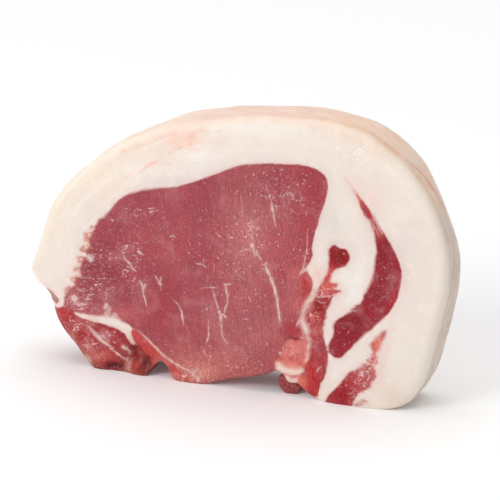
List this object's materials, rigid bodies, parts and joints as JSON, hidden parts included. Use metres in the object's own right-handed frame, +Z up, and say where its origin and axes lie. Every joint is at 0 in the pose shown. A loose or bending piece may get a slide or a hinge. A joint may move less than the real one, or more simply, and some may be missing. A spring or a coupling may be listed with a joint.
{
  "type": "pork loin chop",
  "caption": "Raw boneless pork loin chop, a thick slice of lean under a deep fat cap, standing on its trimmed lower edge.",
  "frame": {"origin": "centre of the footprint, on the surface that the slice stands on", "axes": "+X across the slice to the thick fat side, +Y from the shown cut face to the back one, +Z up to the top of the fat cap"},
  "size_m": [0.1521, 0.0226, 0.098],
  "materials": {
    "fat": "raw back fat, creamy white, slightly moist",
    "lean_eye": "raw lean pork, rose red, moist",
    "lean_dark": "raw lean pork, dark crimson, moist",
    "lean_marbled": "raw marbled pork, moist",
    "fatty_knob": "pink fatty meat, moist"
  },
  "bodies": {
    "root": {"fat_cap": "fat", "loin_eye": "lean_eye", "outer_strip": "lean_dark", "inner_strip": "lean_marbled", "lower_strip": "lean_marbled", "tail_strip": "lean_marbled", "chain_end": "lean_dark", "chain_upper": "lean_dark", "chain_outer": "lean_eye", "fat_knob": "fatty_knob", "back_shred": "lean_dark"}
  },
  "joints": []
}
